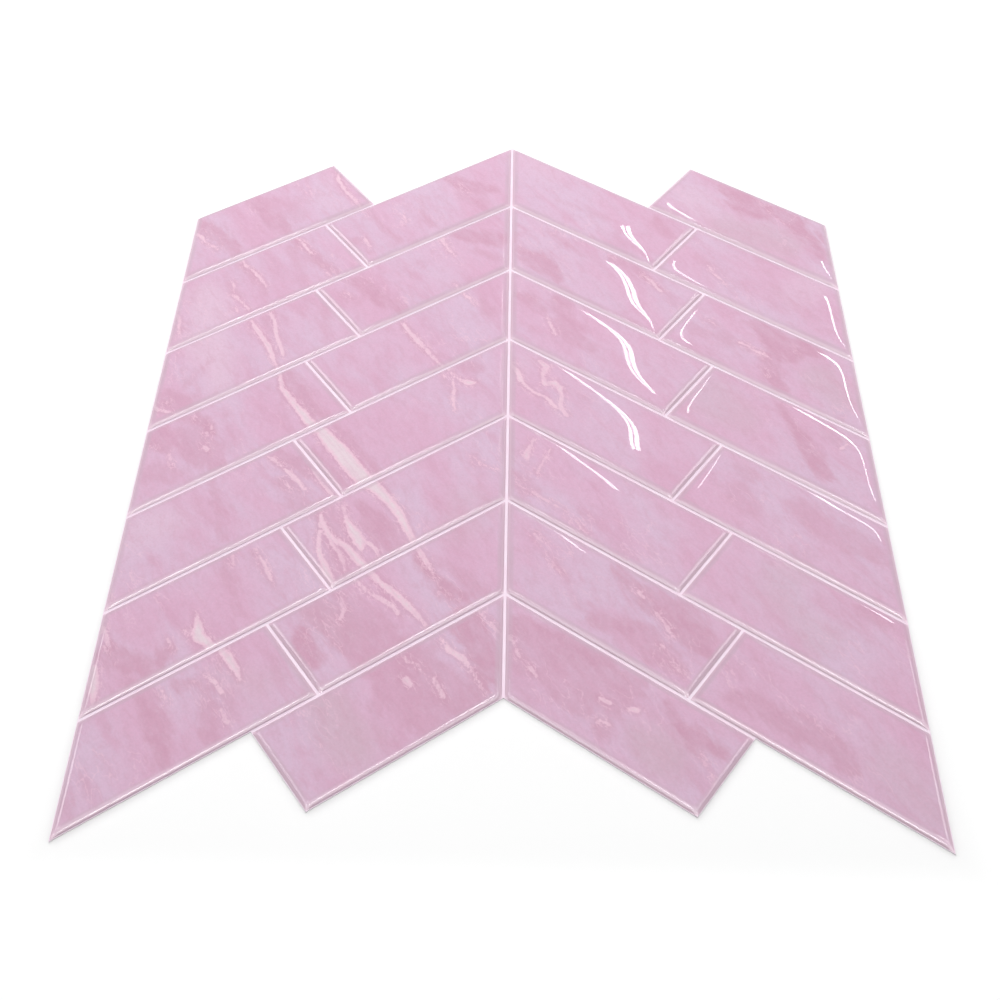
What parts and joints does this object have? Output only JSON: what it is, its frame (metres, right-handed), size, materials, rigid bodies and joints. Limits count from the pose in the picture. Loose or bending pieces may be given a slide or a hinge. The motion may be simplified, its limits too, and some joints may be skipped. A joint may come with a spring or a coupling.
{
  "type": "peel and stick herringbone tile",
  "caption": "Self-adhesive wall tile sheet with slanted domed gel pads in rose marble print, pale joints and interlocking zigzag ends, on a release liner.",
  "frame": {"origin": "centre of the sheet's outline on the surface that it lies on, under the liner", "axes": "+X across the sheet to its right side, +Y up the sheet towards the peak of the rows, +Z out of the glossy face"},
  "size_m": [0.2328, 0.3048, 0.0017],
  "materials": {
    "liner_paper": "silicone-coated release paper, semi-matt",
    "film": "pale pink printed vinyl film, the bare joints",
    "gel_pad": "clear glossy gel over a rose marble print"
  },
  "bodies": {
    "root": {"release_liner": "liner_paper", "printed_film": "film", "gel_pad_left_inner_1": "gel_pad", "gel_pad_left_inner_2": "gel_pad", "gel_pad_left_inner_3": "gel_pad", "gel_pad_left_inner_4": "gel_pad", "gel_pad_left_inner_5": "gel_pad", "gel_pad_left_inner_6": "gel_pad", "gel_pad_left_inner_7": "gel_pad", "gel_pad_left_outer_1": "gel_pad", "gel_pad_left_outer_2": "gel_pad", "gel_pad_left_outer_3": "gel_pad", "gel_pad_left_outer_4": "gel_pad", "gel_pad_left_outer_5": "gel_pad", "gel_pad_left_outer_6": "gel_pad", "gel_pad_left_outer_7": "gel_pad", "gel_pad_right_inner_1": "gel_pad", "gel_pad_right_inner_2": "gel_pad", "gel_pad_right_inner_3": "gel_pad", "gel_pad_right_inner_4": "gel_pad", "gel_pad_right_inner_5": "gel_pad", "gel_pad_right_inner_6": "gel_pad", "gel_pad_right_inner_7": "gel_pad", "gel_pad_right_outer_1": "gel_pad", "gel_pad_right_outer_2": "gel_pad", "gel_pad_right_outer_3": "gel_pad", "gel_pad_right_outer_4": "gel_pad", "gel_pad_right_outer_5": "gel_pad", "gel_pad_right_outer_6": "gel_pad", "gel_pad_right_outer_7": "gel_pad"}
  },
  "joints": []
}
